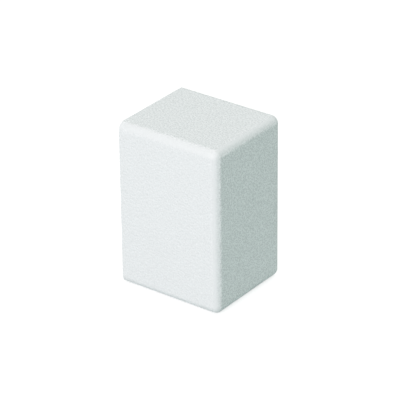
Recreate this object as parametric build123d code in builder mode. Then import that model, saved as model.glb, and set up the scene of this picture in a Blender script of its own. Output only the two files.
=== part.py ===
from build123d import *
import os

# Profile end cap: a one-piece moulded shell that slips over the cut end of a
# rectangular profile and closes it. Five sides are closed and the mouth is open.
# Millimetres, +Z up. The cap stands on its lower side wall, with the origin at
# the bottom centre of its outer box. The mouth faces -X, the closed end +X.

# The profile that the cap takes
profile_width = 34.2  # across, along Y
profile_height = 60.0  # along Z
insertion = 40.5  # how far the profile goes in, from the rim to the end stop

# The shell
side_wall = 1.6  # at the rim; the draft thickens it towards the closed end
end_wall = 2.2
outer_radius = 3.0  # every outer edge and corner, apart from the rim
inner_radius = 1.4  # long corners of the cavity, at the rim
floor_radius = 1.0  # where the cavity's walls meet the end wall
cavity_draft = 0.25  # degrees a side, so that the moulding leaves its core
rim_break = 0.25  # rounding of the rim's outer edge
lead_in = 0.6  # chamfer that guides the profile into the mouth

# The grip ribs: low ribs along the cavity that centre the profile and hold it
rib_rise = 0.5  # height of a rib near the rim
rib_width = 1.2
rib_clearance = 0.1  # between a rib's crest and the profile
rib_setback = 4.0  # from the rim to the foot of a rib's ramp
rib_ramp = 3.0  # length of the ramp that starts a rib
rib_inset = 8.0  # from the cavity's side to the outer ribs on each wall

# Sizes that follow
crest_width = profile_width + 2 * rib_clearance
crest_height = profile_height + 2 * rib_clearance
cavity_width = crest_width + 2 * rib_rise
cavity_height = crest_height + 2 * rib_rise
cap_width = cavity_width + 2 * side_wall
cap_height = cavity_height + 2 * side_wall
cap_length = insertion + end_wall
rim_x = -cap_length / 2
stop_x = rim_x + insertion
centre_z = cap_height / 2

# The rim's plane looks into the cap: its x runs along Y and its y along Z.
rim_plane = Plane(origin=(rim_x, 0, centre_z), x_dir=(0, 1, 0), z_dir=(1, 0, 0))

# Each rib pair faces itself across the cavity. Its plane holds the cap's long
# axis as x and points at the wall as y. A tall wall has three ribs and a narrow
# wall has two.
outer_rib_z = cavity_height / 2 - rib_inset
outer_rib_y = cavity_width / 2 - rib_inset
rib_pairs = [
    (Plane(origin=(0, 0, centre_z + height)), crest_width / 2)
    for height in (-outer_rib_z, 0, outer_rib_z)
] + [
    (Plane(origin=(0, side, centre_z), x_dir=(1, 0, 0), z_dir=(0, -1, 0)), crest_height / 2)
    for side in (-outer_rib_y, outer_rib_y)
]

os.makedirs("parts", exist_ok=True)

with BuildPart() as end_cap:
    # Outside: a rounded block, with the closed end rounded to the same radius
    with BuildSketch(rim_plane):
        RectangleRounded(cap_width, cap_height, outer_radius)
    extrude(amount=cap_length)
    closed_end = end_cap.faces().sort_by(Axis.X)[-1]
    fillet(closed_end.edges(), outer_radius)

    # Cavity: drafted from the rim down to the end wall, with a soft floor corner
    with BuildSketch(rim_plane):
        RectangleRounded(cavity_width, cavity_height, inner_radius)
    extrude(amount=insertion, taper=cavity_draft, mode=Mode.SUBTRACT)
    flat_faces = end_cap.faces().filter_by(Axis.X).sort_by(Axis.X)
    cavity_floor = flat_faces[-2]
    fillet(cavity_floor.edges(), floor_radius)

    # Rim: a chamfered mouth and a softly broken outer edge
    rim_face = end_cap.faces().filter_by(Axis.X).sort_by(Axis.X)[0]
    chamfer(rim_face.inner_wires()[0].edges(), lead_in)
    rim_face = end_cap.faces().filter_by(Axis.X).sort_by(Axis.X)[0]
    fillet(rim_face.outer_wire().edges(), rim_break)

    # Grip ribs: each starts on a ramp, and its crest runs level to the end wall
    for rib_plane, half_crest in rib_pairs:
        root = half_crest + rib_rise + side_wall / 2
        with BuildSketch(rib_plane):
            with BuildLine():
                Polyline(
                    (rim_x + rib_setback, root),
                    (rim_x + rib_setback, half_crest + rib_rise),
                    (rim_x + rib_setback + rib_ramp, half_crest),
                    (stop_x + end_wall / 2, half_crest),
                    (stop_x + end_wall / 2, root),
                    close=True,
                )
            make_face()
            mirror(about=Plane.XZ)
        extrude(amount=rib_width / 2, both=True)

end_cap.part.label = "end_cap"
export_step(end_cap.part, "parts/end_cap.step")
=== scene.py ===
from math import radians

import bpy
from mathutils import Matrix, Vector


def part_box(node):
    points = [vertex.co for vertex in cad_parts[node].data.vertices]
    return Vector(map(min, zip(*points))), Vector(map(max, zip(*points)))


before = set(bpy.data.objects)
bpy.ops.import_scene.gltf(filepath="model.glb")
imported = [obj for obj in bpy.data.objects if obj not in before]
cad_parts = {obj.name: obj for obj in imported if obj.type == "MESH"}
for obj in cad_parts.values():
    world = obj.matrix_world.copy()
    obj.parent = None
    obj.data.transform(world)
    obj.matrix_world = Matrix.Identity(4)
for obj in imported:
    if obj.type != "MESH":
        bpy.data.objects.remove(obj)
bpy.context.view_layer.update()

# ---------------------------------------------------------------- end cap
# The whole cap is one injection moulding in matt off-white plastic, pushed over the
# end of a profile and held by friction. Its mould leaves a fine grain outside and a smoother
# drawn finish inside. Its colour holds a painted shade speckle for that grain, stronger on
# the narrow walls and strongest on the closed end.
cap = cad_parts["end_cap"]
cap_low, cap_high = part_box("end_cap")
cap_centre = (cap_low + cap_high) / 2
cap_half = (cap_high - cap_low) / 2


class Signal:
    """One output of a material's nodes. Sums and products of signals add Math nodes."""

    def __init__(self, socket):
        self.socket = socket

    def node(self, kind, settings, inputs, output=0):
        """Adds a node to the signal's own tree: settings first, then its sockets."""
        tree = self.socket.id_data
        node = tree.nodes.new(kind)
        for name, value in settings.items():
            setattr(node, name, value)
        for name, value in inputs.items():
            if isinstance(value, Signal):
                tree.links.new(value.socket, node.inputs[name])
            else:
                node.inputs[name].default_value = value
        return Signal(node.outputs[output])

    def math(self, operation, first, second):
        """Adds a Math node that works on two signals or numbers."""
        return self.node("ShaderNodeMath", {"operation": operation}, {0: first, 1: second})

    def __add__(self, other):
        return self.math("ADD", self, other)

    __radd__ = __add__

    def __sub__(self, other):
        return self.math("SUBTRACT", self, other)

    def __rsub__(self, other):
        return self.math("SUBTRACT", other, self)

    def __mul__(self, other):
        return self.math("MULTIPLY", self, other)

    __rmul__ = __mul__


def new_material(name):
    """An empty material with its output node."""
    material = bpy.data.materials.new(name)
    material.use_nodes = True
    material.node_tree.nodes.clear()
    output = material.node_tree.nodes.new("ShaderNodeOutputMaterial")
    return material, output


plastic, plastic_output = new_material("matt_off_white_plastic")
coordinates = plastic.node_tree.nodes.new("ShaderNodeTexCoord")
place = Signal(coordinates.outputs["Object"])
from_centre = place.node(
    "ShaderNodeVectorMath", {"operation": "SUBTRACT"}, {0: place, 1: tuple(cap_centre)}, "Vector"
)
along, across, height = (
    from_centre.node("ShaderNodeSeparateXYZ", {}, {0: from_centre}, axis) for axis in "XYZ"
)


def noise(vector, wavelength_mm, detail=2.0):
    """Soft noise from 0 to 1 with about that distance between its bumps."""
    return vector.node(
        "ShaderNodeTexNoise",
        {"noise_dimensions": "3D"},
        {"Vector": vector, "Scale": 1000 / wavelength_mm, "Detail": detail},
        "Fac",
    )


def ramp(signal, low, high):
    """A smooth step from 0 at low to 1 at high."""
    return signal.node(
        "ShaderNodeMapRange",
        {"interpolation_type": "SMOOTHSTEP"},
        {"Value": signal, "From Min": low, "From Max": high},
        "Result",
    )


def from_middle(distance):
    """How far a point lies from the cap's middle, whichever side it is on."""
    return distance.math("ABSOLUTE", distance, 0.0)


def lesser(first, second):
    """The smaller of two signals."""
    return first.math("MINIMUM", first, second)


# Depth under the nearest side of the cap's box, in metres. The outside stays under 1.35 mm
# even in its rounded corners, and the cavity lies deeper from 1.5 mm behind its mouth.
depth = lesser(
    cap_half.x - from_middle(along),
    lesser(cap_half.y - from_middle(across), cap_half.z - from_middle(height)),
)
cavity = ramp(depth, 0.00135, 0.00150)

# The grain is full on the flat walls and fades to a fifth on the rounded edges.
flat = 1 - 0.8 * ramp(depth, 0.00003, 0.00035)

# The closed end is the outer skin at +X, and the narrow walls are the outer skin at the top
# and bottom. Each fades in through the skin's thickness, and each makes the painted shade
# speckle stronger.
skin_inside = 0.0016
skin_outside = 0.0002
closed_end = ramp(along, cap_half.x - skin_inside, cap_half.x - skin_outside)
narrow_wall = ramp(from_middle(height), cap_half.z - skin_inside, cap_half.z - skin_outside)

# Relief: grain outside, and inside the faint streaks that the core draws along the cavity.
grain_height = 0.0002
drawn_out = (0.03, 1, 1)
grain = noise(place, 0.75, 0.0)
drawn = place.node("ShaderNodeMapping", {"vector_type": "POINT"}, {"Vector": place, "Scale": drawn_out})
streaks = 0.25 * noise(drawn, 0.5, 1.0) + 0.06 * noise(place, 0.6)
relief = grain * flat * (1 - cavity) + streaks * cavity
relief_normal = place.node(
    "ShaderNodeBump", {}, {"Strength": 1.0, "Distance": grain_height, "Height": relief}, "Normal"
)

# Colour: a painted shade speckle that stands for the shade the grain holds, painted stronger
# on the narrow walls and strongest on the closed end, and a slight clouding in the plastic.
painted_grain_shade = noise(place, 0.55, 1.0)
painted_shade_strength = 1.0 + 2.2 * narrow_wall + 7.0 * closed_end
clouding = noise(place, 18.0)
painted_shade_and_clouding = 0.5 + (painted_grain_shade - 0.5) * painted_shade_strength * flat + 0.1 * (clouding - 0.5)
# darkest and lightest bound the painted grain shade and the clouding.
darkest = (0.740, 0.773, 0.779, 1)
lightest = (0.940, 0.973, 0.979, 1)
off_white = place.node("ShaderNodeMix", {"data_type": "RGBA"}, {0: painted_shade_and_clouding, 6: darkest, 7: lightest}, 2)
surface = place.node(
    "ShaderNodeBsdfPrincipled",
    {},
    {
        "Base Color": off_white,
        "Roughness": 0.52 + 0.06 * clouding - 0.16 * cavity,
        "Normal": relief_normal,
        "IOR": 1.5,
    },
)
plastic.node_tree.links.new(surface.socket, plastic_output.inputs["Surface"])
cap.data.materials.clear()
cap.data.materials.append(plastic)

# ---------------------------------------------------------------- floor
# A seamless pale studio floor. It shows white and keeps the cap's soft shadow. The
# light that it throws back on the cap is dimmer than what it shows, and faintly green.
bpy.ops.object.select_all(action="DESELECT")
bpy.ops.mesh.primitive_plane_add(size=8, location=(0, 0, 0))
floor = bpy.context.active_object
floor.name = "floor"


def looked_at(tree):
    """1 for rays from the camera, mirrors and glass, which see white; 0 for rays that only carry light."""
    path = tree.nodes.new("ShaderNodeLightPath")
    direct, mirrored, through = (
        Signal(path.outputs[ray]) for ray in ("Is Camera Ray", "Is Glossy Ray", "Is Transmission Ray")
    )
    return direct.math("MAXIMUM", direct, mirrored.math("MAXIMUM", mirrored, through))


paper, paper_output = new_material("studio_paper")
floor_seen = looked_at(paper.node_tree)
glow = floor_seen.node("ShaderNodeEmission", {}, {"Color": (1, 1, 1, 1), "Strength": 0.72})
shadowed = floor_seen.node("ShaderNodeBsdfDiffuse", {}, {"Color": (0.45, 0.45, 0.45, 1)})
shown = floor_seen.node("ShaderNodeAddShader", {}, {0: glow, 1: shadowed})
bounce = floor_seen.node("ShaderNodeBsdfDiffuse", {}, {"Color": (0.42, 0.52, 0.505, 1)})
floor_surface = floor_seen.node("ShaderNodeMixShader", {}, {0: floor_seen, 1: bounce, 2: shown})
paper.node_tree.links.new(floor_surface.socket, paper_output.inputs["Surface"])
floor.data.materials.append(paper)

# ---------------------------------------------------------------- light
# A large soft lamp in front and a weaker one high behind, both faintly pink, in an even
# room that is faintly green, so the plastic looks neutral in the light and cool in shade.
lamp_side = 2.0
lamp_distance = 3.0


def soft_lamp(name, azimuth, elevation, power):
    """A square area lamp turned to the cap; azimuth 0 is in front of -Y."""
    data = bpy.data.lights.new(name, "AREA")
    data.shape = "SQUARE"
    data.size = lamp_side
    data.energy = power
    data.color = (1.0, 0.855, 0.915)
    lamp = bpy.data.objects.new(name, data)
    bpy.context.scene.collection.objects.link(lamp)
    turn = Matrix.Rotation(radians(azimuth), 4, "Z") @ Matrix.Rotation(radians(90 - elevation), 4, "X")
    lamp.matrix_world = Matrix.Translation(cap_centre + lamp_distance * turn.col[2].xyz) @ turn


soft_lamp("key", 8, 20, 63.2)
soft_lamp("back", 180, 60, 28.0)

world = bpy.data.worlds.new("studio")
world.use_nodes = True
world.node_tree.nodes.clear()
world_output = world.node_tree.nodes.new("ShaderNodeOutputWorld")
room_seen = looked_at(world.node_tree)
room = room_seen.node("ShaderNodeBackground", {}, {"Color": (0.389, 0.471, 0.43, 1), "Strength": 1.0})
white = room_seen.node("ShaderNodeBackground", {}, {"Color": (1, 1, 1, 1), "Strength": 1.0})
surroundings = room_seen.node("ShaderNodeMixShader", {}, {0: room_seen, 1: room, 2: white})
world.node_tree.links.new(surroundings.socket, world_output.inputs["Surface"])
bpy.context.scene.world = world
bpy.context.scene.view_settings.view_transform = "Standard"

# ---------------------------------------------------------------- camera
# A long lens above the corner between a wide wall and the closed end, held almost level
# and aimed a hair off the cap's centre.
camera_distance = 0.890
aim = cap_centre + Vector((-0.00026, -0.00026, 0.0))
azimuth, elevation, roll = radians(36.98), radians(27.67), radians(-0.68)
camera_data = bpy.data.cameras.new("camera")
camera_data.sensor_width = 36
camera_data.lens = 224.1
camera = bpy.data.objects.new("camera", camera_data)
bpy.context.scene.collection.objects.link(camera)
turn = Matrix.Rotation(azimuth, 4, "Z") @ Matrix.Rotation(radians(90) - elevation, 4, "X")
turn = turn @ Matrix.Rotation(roll, 4, "Z")
camera.matrix_world = Matrix.Translation(aim + camera_distance * turn.col[2].xyz) @ turn
bpy.context.scene.camera = camera
